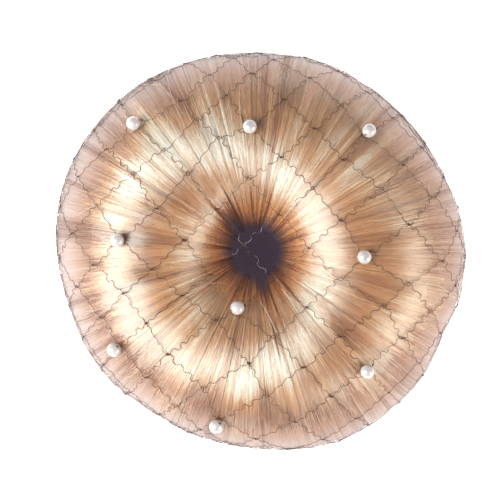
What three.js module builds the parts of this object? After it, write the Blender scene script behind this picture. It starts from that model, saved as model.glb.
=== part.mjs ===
// A knotted hair net with pearl beads, stretched over a ring-shaped bun of synthetic hair.
// Millimetres, +Z up. The bun lies on its flat back; the origin is the middle of that back.
import * as THREE from "three";

// Pearl beads, whose usual 4 mm gives the size of everything else
const PEARL_DIAMETER = 4;
const PEARL_HOLE = 0.9;
const PEARL_SIDES = 12;
const PEARL_RINGS = 7;

// Bun of hair: a ring with a well in its middle
const BUN_RADIUS = 57.4;
const BUN_HEIGHT = 42;
const CREST_RADIUS = 29;
const EQUATOR_HEIGHT = 15;
const BACK_RADIUS = 49;
const WELL_RADIUS = 7;
const WELL_THROAT = 18;
const WELL_SHIFT = { x: -1.3, y: -0.5 };

// Locks of hair that radiate from the well
const LOCKS = 36;
const LOCK_WANDER = { share: 0.22, phase: 1.7 };
const LOCK_LOWERING = { share: 0.7, phase: 2.4 };
const LOCK_FLANKS = [0, 0.28, 0.72];

// Round backing sewn under the bun
const BASE_RADIUS = 46;
const BASE_THICKNESS = 2;
const BASE_BEVEL = 0.4;
const BASE_SIDES = 48;

// Net of knotted thread, with a bound edge and an elastic under it
const THREAD_WIDTH = 0.6;
const THREAD_THICKNESS = 0.5;
const NET_GAP = 0.5;
const NET_DIP = 9;
const NET_SAMPLES = 40;
const NORMAL_NUDGE = 0.4;
const NET_EDGE = 87;
const LAST_KNOTS = 72;
const THREAD_STEPS = 2;
const EDGE_THREAD_STEPS = 3;
const SHARPEST_CORNER = 0.25;
const EDGE_KNOT_SPACING = 3;
const EDGE_LEAN = 0.7;
const ELASTIC_DIAMETER = 1.6;
const ELASTIC_SIDES = 6;
const ELASTIC_STEPS = 72;
const PIECE_GAP = 0.3;
const PEARL_LIFT = THREAD_THICKNESS / 2 + PIECE_GAP + PEARL_DIAMETER / 2;

// Diamonds of the net laid flat: two directions, and where knot 0, 0 lies from the axis
const MESH_ACROSS = { length: 12.8, degrees: -47.2 };
const MESH_ALONG = { length: 13, degrees: -139.9 };
const FIRST_KNOT = { x: 7.25, y: 10.8 };
const KNOT_RANGE = 8;
const PULL_FADE = 14;
const PULL_POWER = 4;
const SAME_KNOT = 0.05;
const SEEN_PASSES = 60;

// Swellings of the round outline: how many round the bun, how far out, and one peak's direction
const OUTLINE_WAVES = [
  { count: 2, size: 1.49, degrees: -32.5 },
  { count: 5, size: 0.38, degrees: 5.5 },
];

// Profile of the bun as quarter ellipses, from the well over the crest to the back
const BUN_BOTTOM = BASE_THICKNESS + PIECE_GAP;
const WELL_WALL = {
  radius: CREST_RADIUS,
  height: WELL_THROAT,
  reach: CREST_RADIUS - WELL_RADIUS,
  rise: BUN_HEIGHT - WELL_THROAT,
  from: 180,
  to: 90,
  steps: 4,
  groove: [0.3, 1.1],
};
const CROWN = {
  radius: CREST_RADIUS,
  height: EQUATOR_HEIGHT,
  reach: BUN_RADIUS - CREST_RADIUS,
  rise: BUN_HEIGHT - EQUATOR_HEIGHT,
  from: 90,
  to: 0,
  steps: 7,
  groove: [1.1, 1.5],
};
const TUCK = {
  radius: BACK_RADIUS,
  height: EQUATOR_HEIGHT,
  reach: BUN_RADIUS - BACK_RADIUS,
  rise: EQUATOR_HEIGHT - BUN_BOTTOM,
  from: 0,
  to: -90,
  steps: 4,
  groove: [1.5, 0],
};

// Knots of the net that carry a pearl, and where each pearl is seen from above
const PEARL_KNOTS = [
  { name: "pearl_1", across: -4, along: 1, x: -35.7, y: 35.8 },
  { name: "pearl_2", across: -2, along: -1, x: -2.8, y: 34.8 },
  { name: "pearl_3", across: -2, along: 3, x: -40.2, y: 2.7 },
  { name: "pearl_4", across: 0, along: -3, x: 30.9, y: 33.7 },
  { name: "pearl_5", across: 0, along: 5, x: -41.2, y: -28.2 },
  { name: "pearl_6", across: 1, along: 2, x: -6.3, y: -16.3 },
  { name: "pearl_7", across: 2, along: -1, x: 29.5, y: -2.0 },
  { name: "pearl_8", across: 3, along: 4, x: -12.3, y: -49.9 },
  { name: "pearl_9", across: 4, along: 1, x: 30.4, y: -34.3 },
];

// Plain knots that lie furthest off the even lattice, and where each is seen from above
const STRAY_KNOTS = [
  { across: 3, along: 0, x: 35.2, y: -15.8 },
  { across: -3, along: -3, x: 3.8, y: 54.4 },
  { across: 2, along: 3, x: -3.1, y: -32.0 },
  { across: -2, along: 0, x: -11.6, y: 31.7 },
  { across: -4, along: 0, x: -22.2, y: 42.4 },
  { across: 1, along: -2, x: 34.6, y: 17.4 },
  { across: 1, along: 3, x: -12.3, y: -19.7 },
  { across: 3, along: -2, x: 52.0, y: -3.1 },
  { across: 1, along: 4, x: -26.2, y: -29.6 },
  { across: -1, along: 5, x: -45.0, y: -19.2 },
  { across: -3, along: 2, x: -35.9, y: 21.7 },
];

// Colours and finish seen in the photo
const HAIR = { color: 0xb9855f, roughness: 0.42, metalness: 0 };
const THREAD = { color: 0x5a3c32, roughness: 0.75, metalness: 0 };
const PEARL = { color: 0xf2eee8, roughness: 0.18, metalness: 0 };
const BACKING = { color: 0x40363f, roughness: 0.9, metalness: 0 };

const radians = THREE.MathUtils.degToRad;

// Puts a profile point at one angle round the bun, with the outline's swell and the well's shift
function place(radius, height, angle) {
  const share = radius / BUN_RADIUS;
  let swell = 0;
  for (const wave of OUTLINE_WAVES) {
    swell += wave.size * Math.cos(wave.count * (angle - radians(wave.degrees)));
  }
  const out = radius + swell * share * share;
  const x = out * Math.cos(angle) + WELL_SHIFT.x * (1 - share);
  const y = out * Math.sin(angle) + WELL_SHIFT.y * (1 - share);
  return new THREE.Vector3(x, y, height);
}

// One point of a quarter ellipse, raised outward by lift
function arcPoint(arc, share, lift) {
  const angle = radians(arc.from + (arc.to - arc.from) * share);
  const normal = new THREE.Vector2(Math.cos(angle) / arc.reach, Math.sin(angle) / arc.rise).normalize();
  return {
    radius: arc.radius + (arc.reach + lift) * Math.cos(angle),
    height: arc.height + (arc.rise + lift) * Math.sin(angle),
    normal,
    groove: arc.groove[0] + (arc.groove[1] - arc.groove[0]) * share,
  };
}

// Solid from points and triangles
function solid(points, triangles) {
  const geometry = new THREE.BufferGeometry();
  const flat = points.flatMap((point) => [point.x, point.y, point.z]);
  geometry.setAttribute("position", new THREE.Float32BufferAttribute(flat, 3));
  geometry.setIndex(triangles);
  geometry.computeVertexNormals();
  return geometry;
}

// Solid ring from a grid of points that closes both round the ring and round its section
function ringSolid(columns, rows, pointAt) {
  const points = [];
  const triangles = [];
  for (let column = 0; column < columns; column += 1) {
    for (let row = 0; row < rows; row += 1) {
      points.push(pointAt(column, row));
      const a = column * rows + row;
      const b = column * rows + ((row + 1) % rows);
      const c = ((column + 1) % columns) * rows + ((row + 1) % rows);
      const d = ((column + 1) % columns) * rows + row;
      triangles.push(a, b, c, a, c, d);
    }
  }
  return solid(points, triangles);
}

// Section of the bun, ending with the plain corner at the foot of the well
function bunSection() {
  const section = [];
  for (const arc of [WELL_WALL, CROWN, TUCK]) {
    for (let step = 0; step < arc.steps; step += 1) {
      section.push(arcPoint(arc, step / arc.steps, 0));
    }
  }
  section.push(arcPoint(TUCK, 1, 0));
  section.push({
    radius: WELL_RADIUS,
    height: BUN_BOTTOM,
    normal: new THREE.Vector2(-1, 0),
    groove: 0,
  });
  return section;
}

// Angle where a lock begins, a little uneven from lock to lock
function lockAngle(lock) {
  const wander = LOCK_WANDER.share * Math.sin(LOCK_WANDER.phase * lock * lock);
  return ((lock + wander) / LOCKS) * 2 * Math.PI;
}

// Bun with its locks: a furrow between each two, and some locks lying lower than others
function bunGeometry() {
  const section = bunSection();
  const flanks = LOCK_FLANKS.length;
  return ringSolid(LOCKS * flanks, section.length, (column, row) => {
    const lock = Math.floor(column / flanks);
    const flank = column % flanks;
    const start = lockAngle(lock);
    const end = lock + 1 < LOCKS ? lockAngle(lock + 1) : lockAngle(0) + 2 * Math.PI;
    const angle = start + (end - start) * LOCK_FLANKS[flank];
    const { radius, height, normal, groove } = section[row];
    const lowered = LOCK_LOWERING.share * (0.5 + 0.5 * Math.sin(LOCK_LOWERING.phase * lock));
    const depth = flank === 0 ? groove : groove * lowered;
    return place(radius - normal.x * depth, height - normal.y * depth, angle);
  });
}

// Backing disc
function baseGeometry() {
  const outline = [
    new THREE.Vector2(0, 0),
    new THREE.Vector2(BASE_RADIUS - BASE_BEVEL, 0),
    new THREE.Vector2(BASE_RADIUS, BASE_BEVEL),
    new THREE.Vector2(BASE_RADIUS, BASE_THICKNESS - BASE_BEVEL),
    new THREE.Vector2(BASE_RADIUS - BASE_BEVEL, BASE_THICKNESS),
    new THREE.Vector2(0, BASE_THICKNESS),
  ];
  const geometry = new THREE.LatheGeometry(outline, BASE_SIDES);
  geometry.rotateX(Math.PI / 2);
  return geometry;
}

// Profile the net follows: it dips across the well, then lies over the crown and the tuck
function netProfile() {
  const lift = NET_GAP + THREAD_THICKNESS / 2;
  const profile = [];
  for (let k = 0; k < NET_SAMPLES; k += 1) {
    const radius = (CREST_RADIUS * k) / NET_SAMPLES;
    const dip = (NET_DIP * (1 + Math.cos((Math.PI * radius) / CREST_RADIUS))) / 2;
    profile.push({ radius, height: BUN_HEIGHT + lift - dip });
  }
  for (const arc of [CROWN, TUCK]) {
    for (let k = 0; k < NET_SAMPLES; k += 1) {
      profile.push(arcPoint(arc, k / NET_SAMPLES, lift));
    }
  }
  profile[0].run = 0;
  for (let k = 1; k < profile.length; k += 1) {
    const step = Math.hypot(
      profile[k].radius - profile[k - 1].radius,
      profile[k].height - profile[k - 1].height,
    );
    profile[k].run = profile[k - 1].run + step;
  }
  return profile;
}

const NET_PROFILE = netProfile();

// Point of the net over a point of the flat lattice: distances from the axis are kept
function netPoint(flat) {
  const run = flat.length();
  let k = 1;
  while (k < NET_PROFILE.length - 1 && NET_PROFILE[k].run < run) {
    k += 1;
  }
  const before = NET_PROFILE[k - 1];
  const after = NET_PROFILE[k];
  const share = (run - before.run) / (after.run - before.run);
  const radius = before.radius + (after.radius - before.radius) * share;
  const height = before.height + (after.height - before.height) * share;
  return place(radius, height, Math.atan2(flat.y, flat.x));
}

// Direction straight out of the net at a point of the flat lattice
function netNormal(flat) {
  const east = netPoint(new THREE.Vector2(flat.x + NORMAL_NUDGE, flat.y));
  const west = netPoint(new THREE.Vector2(flat.x - NORMAL_NUDGE, flat.y));
  const north = netPoint(new THREE.Vector2(flat.x, flat.y + NORMAL_NUDGE));
  const south = netPoint(new THREE.Vector2(flat.x, flat.y - NORMAL_NUDGE));
  return east.sub(west).cross(north.sub(south)).normalize();
}

// Even lattice, before any knot is pulled
function evenKnot(across, along) {
  const a = radians(MESH_ACROSS.degrees);
  const b = radians(MESH_ALONG.degrees);
  return new THREE.Vector2(
    FIRST_KNOT.x + across * MESH_ACROSS.length * Math.cos(a) + along * MESH_ALONG.length * Math.cos(b),
    FIRST_KNOT.y + across * MESH_ACROSS.length * Math.sin(a) + along * MESH_ALONG.length * Math.sin(b),
  );
}

// Flat point whose place on the net, raised by lift, is seen at x, y from above
function flatSeenAt(x, y, lift) {
  const flat = new THREE.Vector2(x, y);
  for (let pass = 0; pass < SEEN_PASSES; pass += 1) {
    const point = netPoint(flat).addScaledVector(netNormal(flat), lift);
    flat.x += x - point.x;
    flat.y += y - point.y;
  }
  return flat;
}

// How far each pearl's knot and each stray knot lies off the even lattice
function knotPulls() {
  const rows = [
    ...PEARL_KNOTS.map((row) => ({ ...row, lift: PEARL_LIFT })),
    ...STRAY_KNOTS.map((row) => ({ ...row, lift: 0 })),
  ];
  return rows.map((row) => {
    const from = evenKnot(row.across, row.along);
    return { from, pull: flatSeenAt(row.x, row.y, row.lift).sub(from) };
  });
}

const KNOT_PULLS = knotPulls();

// Knot of the flat lattice, drawn along with the stray knots near it
function flatKnot(across, along) {
  const knot = evenKnot(across, along);
  const total = new THREE.Vector2(0, 0);
  let weights = 1;
  for (const { from, pull } of KNOT_PULLS) {
    const distance = Math.max(knot.distanceTo(from), SAME_KNOT);
    const weight = Math.pow(PULL_FADE / distance, PULL_POWER);
    total.addScaledVector(pull, weight);
    weights += weight;
  }
  return knot.add(total.divideScalar(weights));
}

// Knots and threads of the net, with the knots where threads meet the bound edge
function netGraph() {
  const nodes = [];
  const bars = [];
  const inside = new Map();
  const addNode = (flat) => {
    nodes.push({ flat, point: netPoint(flat), normal: netNormal(flat), ends: [] });
    return nodes.length - 1;
  };
  for (let across = -KNOT_RANGE; across <= KNOT_RANGE; across += 1) {
    for (let along = -KNOT_RANGE; along <= KNOT_RANGE; along += 1) {
      const flat = flatKnot(across, along);
      if (flat.length() < LAST_KNOTS) {
        inside.set(`${across},${along}`, addNode(flat));
      }
    }
  }
  const crossings = [];
  for (const [key, node] of inside) {
    const [across, along] = key.split(",").map(Number);
    for (const [stepAcross, stepAlong] of [[1, 0], [0, 1], [-1, 0], [0, -1]]) {
      const other = inside.get(`${across + stepAcross},${along + stepAlong}`);
      if (other === undefined) {
        const outer = flatKnot(across + stepAcross, along + stepAlong);
        const middle = nodes[node].flat.clone().lerp(outer, EDGE_LEAN);
        crossings.push({ node, angle: middle.angle() });
      } else if (other > node) {
        bars.push({ ends: [node, other], steps: THREAD_STEPS });
      }
    }
  }
  joinToEdge(crossings, nodes, bars, addNode);
  return { nodes, bars, inside };
}

// Ties the outermost threads to the bound edge; threads that arrive close together share a knot
function joinToEdge(crossings, nodes, bars, addNode) {
  crossings.sort((a, b) => a.angle - b.angle);
  const spacing = EDGE_KNOT_SPACING / NET_EDGE;
  const groups = [];
  for (const crossing of crossings) {
    const last = groups[groups.length - 1];
    if (last && crossing.angle - last[0].angle < spacing) {
      last.push(crossing);
    } else {
      groups.push([crossing]);
    }
  }
  const first = nodes.length;
  for (const group of groups) {
    const angle = group.reduce((sum, crossing) => sum + crossing.angle, 0) / group.length;
    const flat = new THREE.Vector2(NET_EDGE * Math.cos(angle), NET_EDGE * Math.sin(angle));
    const knot = addNode(flat);
    for (const crossing of group) {
      bars.push({ ends: [crossing.node, knot], steps: EDGE_THREAD_STEPS });
    }
  }
  for (let k = 0; k < groups.length; k += 1) {
    const next = first + ((k + 1) % groups.length);
    bars.push({ ends: [first + k, next], steps: THREAD_STEPS, round: true });
  }
}

// Flat point part of the way along a thread; the bound edge keeps its distance from the axis
function alongBar(bar, nodes, share) {
  const flat = nodes[bar.ends[0]].flat.clone().lerp(nodes[bar.ends[1]].flat, share);
  return bar.round ? flat.setLength(NET_EDGE) : flat;
}

// Net as one solid: a small pad at each knot and a flat bar for each thread
function netGeometry({ nodes, bars }) {
  const points = [];
  const triangles = [];
  const addPair = (point, normal) => {
    points.push(point.clone().addScaledVector(normal, THREAD_THICKNESS / 2));
    points.push(point.clone().addScaledVector(normal, -THREAD_THICKNESS / 2));
    return points.length - 2;
  };
  const addQuad = (a, b, c, d) => triangles.push(a, b, c, a, c, d);
  bars.forEach((bar, index) => {
    bar.middles = [];
    for (let step = 1; step < bar.steps; step += 1) {
      const flat = alongBar(bar, nodes, step / bar.steps);
      bar.middles.push({ point: netPoint(flat), normal: netNormal(flat) });
    }
    nodes[bar.ends[0]].ends.push({ index, end: 0, toward: bar.middles[0].point });
    nodes[bar.ends[1]].ends.push({ index, end: 1, toward: bar.middles[bar.middles.length - 1].point });
  });
  for (const node of nodes) {
    addPad(node, bars, addPair, triangles);
  }
  for (const bar of bars) {
    const sections = [bar.corners[0]];
    bar.middles.forEach((middle, k) => {
      const before = k > 0 ? bar.middles[k - 1].point : nodes[bar.ends[0]].point;
      const after = k + 1 < bar.middles.length ? bar.middles[k + 1].point : nodes[bar.ends[1]].point;
      const side = middle.normal.clone().cross(after.clone().sub(before)).setLength(THREAD_WIDTH / 2);
      const left = addPair(middle.point.clone().add(side), middle.normal);
      const right = addPair(middle.point.clone().sub(side), middle.normal);
      sections.push({ left, right });
    });
    sections.push({ left: bar.corners[1].right, right: bar.corners[1].left });
    for (let k = 0; k + 1 < sections.length; k += 1) {
      const { left, right } = sections[k];
      const next = sections[k + 1];
      addQuad(right, next.right, next.left, left);
      addQuad(left + 1, next.left + 1, next.right + 1, right + 1);
      addQuad(left, next.left, next.left + 1, left + 1);
      addQuad(right + 1, next.right + 1, next.right, right);
    }
  }
  return solid(points, triangles);
}

// Pad at one knot: a corner between each two neighbouring threads
function addPad(node, bars, addPair, triangles) {
  const east = new THREE.Vector3(1, 0, 0).projectOnPlane(node.normal).normalize();
  const north = node.normal.clone().cross(east);
  for (const end of node.ends) {
    const way = end.toward.clone().sub(node.point);
    end.angle = Math.atan2(way.dot(north), way.dot(east));
  }
  node.ends.sort((a, b) => a.angle - b.angle);
  const corners = node.ends.map((end, k) => {
    const next = node.ends[(k + 1) % node.ends.length];
    const turn = (next.angle - end.angle + 2 * Math.PI) % (2 * Math.PI);
    const middle = end.angle + turn / 2;
    const reach = THREAD_WIDTH / 2 / Math.max(Math.sin(turn / 2), SHARPEST_CORNER);
    const corner = node.point.clone();
    corner.addScaledVector(east, reach * Math.cos(middle));
    corner.addScaledVector(north, reach * Math.sin(middle));
    return addPair(corner, node.normal);
  });
  node.ends.forEach((end, k) => {
    const bar = bars[end.index];
    bar.corners = bar.corners ?? [];
    bar.corners[end.end] = { left: corners[k], right: corners[(k + corners.length - 1) % corners.length] };
  });
  for (let k = 1; k + 1 < corners.length; k += 1) {
    triangles.push(corners[0], corners[k], corners[k + 1]);
    triangles.push(corners[0] + 1, corners[k + 1] + 1, corners[k] + 1);
  }
}

// Elastic cord that runs round the bun just under the net's bound edge
function elasticGeometry() {
  const radius = ELASTIC_DIAMETER / 2;
  const run = NET_EDGE + THREAD_WIDTH / 2 + PIECE_GAP + radius;
  const lift = radius - THREAD_THICKNESS / 2;
  return ringSolid(ELASTIC_STEPS, ELASTIC_SIDES, (column, row) => {
    const angle = (column / ELASTIC_STEPS) * 2 * Math.PI;
    const flat = new THREE.Vector2(run * Math.cos(angle), run * Math.sin(angle));
    const normal = netNormal(flat);
    const round = new THREE.Vector3(-Math.sin(angle), Math.cos(angle), 0);
    const down = round.cross(normal).normalize();
    const turn = (row / ELASTIC_SIDES) * 2 * Math.PI;
    const centre = netPoint(flat).addScaledVector(normal, lift);
    centre.addScaledVector(normal, radius * Math.sin(turn));
    return centre.addScaledVector(down, -radius * Math.cos(turn));
  });
}

// Drilled bead, with its hole along Y
function pearlGeometry() {
  const radius = PEARL_DIAMETER / 2;
  const rim = Math.asin(PEARL_HOLE / PEARL_DIAMETER);
  const outline = [];
  for (let ring = 0; ring <= PEARL_RINGS; ring += 1) {
    const angle = rim + ((Math.PI - 2 * rim) * ring) / PEARL_RINGS;
    outline.push(new THREE.Vector2(radius * Math.sin(angle), -radius * Math.cos(angle)));
  }
  outline.push(outline[0].clone());
  return new THREE.LatheGeometry(outline, PEARL_SIDES);
}

// Bead lying on its knot, threaded along the net
function pearlAt(row, graph) {
  const node = graph.nodes[graph.inside.get(`${row.across},${row.along}`)];
  const next = netPoint(flatKnot(row.across, row.along + 1));
  const way = next.sub(node.point).projectOnPlane(node.normal).normalize();
  const geometry = pearlGeometry();
  geometry.applyQuaternion(new THREE.Quaternion().setFromUnitVectors(new THREE.Vector3(0, 1, 0), way));
  const centre = node.point.clone().addScaledVector(node.normal, PEARL_LIFT);
  geometry.translate(centre.x, centre.y, centre.z);
  return geometry;
}

// Assembly
function piece(name, geometry, finish) {
  const mesh = new THREE.Mesh(geometry, new THREE.MeshStandardMaterial(finish));
  mesh.name = name;
  return mesh;
}

const assembly = new THREE.Group();
const graph = netGraph();
assembly.add(piece("bun_base", baseGeometry(), BACKING));
assembly.add(piece("hair_bun", bunGeometry(), HAIR));
assembly.add(piece("net_mesh", netGeometry(graph), THREAD));
assembly.add(piece("elastic_edge", elasticGeometry(), THREAD));
for (const row of PEARL_KNOTS) {
  assembly.add(piece(row.name, pearlAt(row, graph), PEARL));
}

// The box round all the pieces is centred over the origin
const middle = new THREE.Box3().setFromObject(assembly, true).getCenter(new THREE.Vector3());
assembly.position.set(-middle.x, -middle.y, 0);

export default assembly;
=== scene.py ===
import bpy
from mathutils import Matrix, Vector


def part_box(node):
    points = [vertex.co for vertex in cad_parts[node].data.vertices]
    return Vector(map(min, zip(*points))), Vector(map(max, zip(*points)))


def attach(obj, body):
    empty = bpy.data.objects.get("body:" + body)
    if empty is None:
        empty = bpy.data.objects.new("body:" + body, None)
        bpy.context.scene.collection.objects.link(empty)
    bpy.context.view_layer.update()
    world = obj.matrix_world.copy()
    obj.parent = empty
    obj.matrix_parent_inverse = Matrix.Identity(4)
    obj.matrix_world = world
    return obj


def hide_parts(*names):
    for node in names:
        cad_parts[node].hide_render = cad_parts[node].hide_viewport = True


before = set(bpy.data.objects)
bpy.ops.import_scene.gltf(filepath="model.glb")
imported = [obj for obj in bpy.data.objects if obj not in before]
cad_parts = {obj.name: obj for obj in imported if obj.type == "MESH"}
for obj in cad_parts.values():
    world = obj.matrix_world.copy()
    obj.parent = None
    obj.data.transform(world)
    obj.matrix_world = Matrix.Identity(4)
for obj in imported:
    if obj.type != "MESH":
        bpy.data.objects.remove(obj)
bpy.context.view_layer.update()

import math
from collections import namedtuple

import bpy
import numpy as np

MM = 0.001
TURN = 2 * math.pi
RANDOM = np.random.default_rng(41)

# Sizes of the bun in millimetres, as in the CAD model
BUN_RADIUS = 57.4
BUN_HEIGHT = 42.0
CREST_RADIUS = 29.0
EQUATOR_HEIGHT = 15.0
BACK_RADIUS = 49.0
WELL_RADIUS = 7.0
WELL_THROAT = 18.0
WELL_SHIFT = (-1.3, -0.5)
BASE_RADIUS = 46.0
BASE_THICKNESS = 2.0
BUN_BOTTOM = 2.3
OUTLINE_WAVES = ((2, 1.49, -32.5), (5, 0.38, 5.5))

# Flat sides that the drawn net pulls into the outline: direction, half width and depth
FLAT_SIDES = (
    (90, 17, 1.0),
    (146, 14, 0.6),
    (195, 9, 0.5),
    (235, 11, 0.6),
    (290, 7, -0.5),
    (335, 9, 1.05),
    (20, 10, 0.35),
)
FLAT_POWER = 6

# Sizes of the net in millimetres, as in the CAD model
THREAD_WIDTH = 0.6
THREAD_THICKNESS = 0.5
NET_GAP = 0.5
NET_DIP = 9.0
NET_EDGE = 87.0
MESH_ACROSS = (12.8, -47.2)
MESH_ALONG = (13.0, -139.9)
FIRST_KNOT = (7.25, 10.8)
KNOT_RANGE = 8
TIE_WIDTHS = (0.12, 0.8)
EDGE_MARGIN = 3.5
EDGE_REACH = 0.7
ELASTIC_DIAMETER = 1.6
ELASTIC_GAP = 0.3

# Pearls: size, hole, height over the net, and how much nearer to the hair they lie than the solids
PEARL_DIAMETER = 4.0
PEARL_HOLE = 0.9
PEARL_LIFT = 2.55
PEARL_SINK = 1.15

# Knots with a pearl, then stray knots: place across and along the lattice, and x, y seen from above
PEARL_KNOTS = (
    (-4, 1, -35.7, 35.8),
    (-2, -1, -2.8, 34.8),
    (-2, 3, -40.2, 2.7),
    (0, -3, 30.9, 33.7),
    (0, 5, -41.2, -28.2),
    (1, 2, -6.3, -16.3),
    (2, -1, 29.5, -2.0),
    (3, 4, -12.3, -49.9),
    (4, 1, 30.4, -34.3),
)
STRAY_KNOTS = (
    (3, 0, 35.2, -15.8),
    (-3, -3, 3.8, 54.4),
    (2, 3, -3.1, -32.0),
    (-2, 0, -11.6, 31.7),
    (-4, 0, -22.2, 42.4),
    (1, -2, 34.6, 17.4),
    (1, 3, -12.3, -19.7),
    (3, -2, 52.0, -3.1),
    (1, 4, -26.2, -29.6),
    (-1, 5, -45.0, -19.2),
    (-3, 2, -35.9, 21.7),
)
PEARL_KEYS = [(across, along) for across, along, _, _ in PEARL_KNOTS]

# How a pulled knot takes its neighbours along, and the knots that press deepest into the hair
PULL_FADE = 14.0
PULL_POWER = 4
PULL_NEAREST = 0.05
DEEP_KNOTS = ((1, -3), (-1, -2), (-4, 0), (3, 1), (-2, 2), (-1, 3))

# Hair: loose strands in several pieces, over a packed ring
STRAND_PIECES = 4
STRANDS_PER_PIECE = 1000
STRAND_STEPS = 22
STRAND_SIDES = 3
STRAND_WIDTH = 0.22
STRAND_SPREAD = (0.75, 1.25)
STRAND_ROUNDNESS = 0.42
STRAND_SWAY = 0.22
SWAY_BENDS = 5.0
FROM_WELL = 0.45
WELL_STARTS = (0, 0.06)
LATER_STARTS = (0.12, 0.40)
END_DIVE = 0.9
DIVE_LENGTH = 0.06
TUCK_LENGTH = 0.03
LAYER_SPREAD = (1.1, 1.6)
HAIR_TOP = 0.5
HAIR_DEPTH = 0.12
CORE_COLUMNS = 1080
CORE_ROWS = 44
CORE_DEPTH = 0.1
CORE_GROOVE = 0.1
CORE_CLEAR = 0.1
LEAN_SPOTS = 70
LEAN_DEGREES = 1.3
LEAN_PIVOT = 0.35

# Waves that the hair lies in: length along it, height, and how the wave shifts round the bun
Wave = namedtuple("Wave", "length size spots drift")
HAIR_WAVES = (Wave(46.0, 0.30, 70, 1.3), Wave(30.0, 0.11, 180, 1.6))

# Shares of the run over which the waves rise from the well, and over which the rim turns even
WAVE_START = 0.12
WAVE_RISE = 0.25
WAVE_LEAST = 0.15
EVEN_START = 0.6
EVEN_RISE = 0.12
EVEN_KEPT = 0.15
EVEN_FALL = 0.26

# Tone that changes round the bun and from strand to strand, and painted shade: how much darker the packed
# hair, deep strands and hair in hollows are
Band = namedtuple("Band", "spots size")
TONE_BANDS = (Band(60, 0.09), Band(150, 0.14), Band(330, 0.14))
STRAND_MIDDLE = 0.58
CORE_MIDDLE = 0.5
STRAND_TONE = 0.19
LAYER_SHADE = 0.12
HOLLOW_SHADE = 0.3
PALEST = 0.83

# Paler ring that paints the key lamp's highlight into the hair: its middle, how far and which way it is
# turned, width, tone, raggedness
PALE_RING = 0.445
PALE_TURN = 0.114
PALE_SIDE = 201
PALE_WIDTH = 0.063
PALE_TONE = 0.6
PALE_LEAST = 0.08
PALE_RAGGED = 0.45

# Paler and darker patches that paint highlight and shade into the hair: direction, half width, share of the
# run, half length and tone
PATCHES = (
    (13, 12, 0.57, 0.035, 0.35),
    (48, 28, 0.49, 0.07, 0.32),
    (112, 16, 0.515, 0.045, 0.40),
    (130, 20, 0.375, 0.025, 0.30),
    (136, 24, 0.565, 0.048, 0.55),
    (168, 30, 0.365, 0.03, 0.42),
    (179, 18, 0.475, 0.035, -0.55),
    (194, 32, 0.632, 0.027, -0.30),
    (225, 24, 0.385, 0.07, 0.40),
    (236, 12, 0.575, 0.035, -0.50),
    (258, 46, 0.61, 0.04, -0.50),
    (277, 16, 0.64, 0.03, -0.35),
    (315, 22, 0.335, 0.045, 0.52),
    (318, 24, 0.435, 0.035, -0.35),
    (329, 20, 0.545, 0.03, 0.35),
)

# Where the well's painted shade ends and the rim's painted reflection begins, and how ragged both are, as
# shares of the hair's run
ROOT_FADE = (0.33, 0.17)
RAGGED_ROOTS = Band(240, 0.014)
RIM_START = 0.645
RAGGED_RIM = Band(90, 0.026)
STRAND_RAGGED = 0.012
OUTER_SHARE = 0.5

# The rim fades later on one side: that direction in degrees, and the share by which it is later
RIM_SIDE = -25
RIM_LATER = 0.022

# Furrows at the well: direction, width in degrees, and how far out the well's painted shade reaches along
# them
WELL_FURROWS = (
    (20, 2.0, 0.05),
    (60, 3.0, 0.05),
    (75, 1.6, 0.09),
    (95, 1.5, 0.11),
    (112, 1.6, 0.10),
    (118, 1.4, 0.12),
    (127, 11.0, 0.05),
    (134, 1.8, 0.10),
    (160, 7.0, 0.03),
    (200, 3.0, 0.04),
    (216, 2.0, 0.07),
    (245, 17.0, 0.04),
    (262, 2.0, 0.07),
    (277, 1.5, 0.09),
    (283, 6.0, 0.07),
    (289, 1.4, 0.12),
    (311, 2.0, 0.07),
    (335, 2.0, 0.05),
)
# Corners where the well's painted shade reaches further, listed as the furrows, and the share and length
# over which that fades
WELL_CORNERS = ((132, 14.0, 0.04), (281, 13.0, 0.04))
CORNER_FADE = (0.235, 0.05)
# How deep the furrows sink, where along the hair and over what half length, and the share that sets the
# darkest painted shade in them
FURROW_DEPTH = 7.0
FURROW_MIDDLE = 0.24
FURROW_LENGTH = 0.09
FURROW_SHADE = 0.208

# Fine creases: ranges of their direction and width in degrees, depth, middle and half length
CREASES = 80
CREASE_RANGES = ((0, 360), (0.3, 0.8), (0.03, 0.09), (0.28, 0.6), (0.06, 0.2))

# Loose hairs by the lowest inner pearl: four spots on each, a direction and a share of the run
BENT_HAIRS = (
    ((235, 0.256), (214, 0.317), (213, 0.394), (218.5, 0.4425)),
    ((272.4, 0.276), (279.3, 0.325), (282.4, 0.363), (283.7, 0.387)),
)

# Fine thread of the net
THREAD_RADIUS = 0.084
THREAD_LIFT = 0.36
THREAD_STEP = 0.36
CRIMP_LENGTH = 3.6
CRIMP_SIZE = 0.6
RING_KNOTS = 0.25
GATHERS = 90
GATHER_STEPS = 40
TAIL_RADIUS = 0.75 * THREAD_RADIUS
GATHER_RADIUS = 0.8 * THREAD_RADIUS

# Height of the fine thread over the middle of the CAD net's thread, below which it lies
THREAD_DROP = THREAD_LIFT - NET_GAP - THREAD_THICKNESS / 2

# Dents that the net presses into the hair, on a grid over the flat lattice
PRESS_REACH = NET_EDGE + 8
PRESS_CELL = 0.4
THREAD_DENT = (0.16, 1.2)
SHALLOW_DENT = 0.15
RANDOM_DENT = 0.6
DEEP_DENT = 0.95
DENT_REACH = (1.8, 3.0)

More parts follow.
